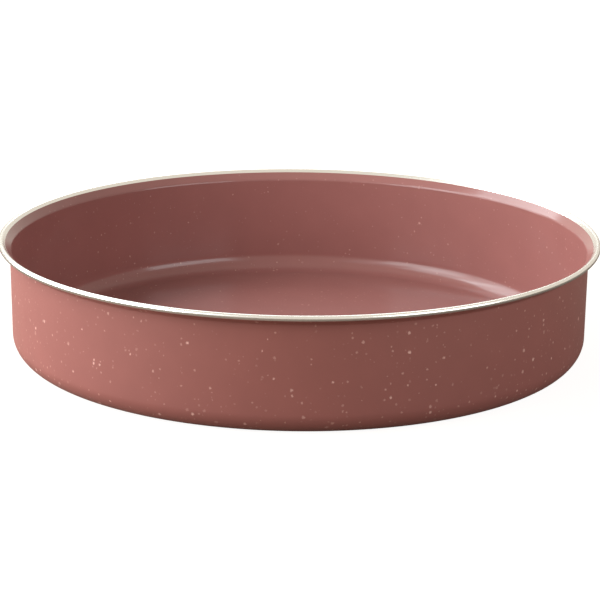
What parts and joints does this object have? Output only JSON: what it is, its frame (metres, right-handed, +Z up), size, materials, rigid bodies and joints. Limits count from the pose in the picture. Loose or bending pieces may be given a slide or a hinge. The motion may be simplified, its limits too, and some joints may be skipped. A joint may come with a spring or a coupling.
{
  "type": "round baking tray",
  "caption": "Round deep baking tray of pressed sheet metal with a flat floor, upright wall, flared lip with a wired rolled edge, and a non-stick coating inside and outside.",
  "frame": {"origin": "middle of the base, on the surface that the tray stands on", "axes": "+Z up along the tray's axis of revolution, out of its open side"},
  "size_m": [0.3, 0.3, 0.058],
  "materials": {
    "bare_aluminium": "bright turned",
    "rim_wire_steel": "drawn wire",
    "coating_inside": "fired non-stick, satin with fine pale flecks",
    "coating_outside": "fired non-stick, satin with pale flecks"
  },
  "bodies": {
    "root": {"pan_shell": "bare_aluminium", "rim_wire": "rim_wire_steel", "inner_coating": "coating_inside", "outer_coating": "coating_outside", "base_coating": "coating_outside"}
  },
  "joints": []
}
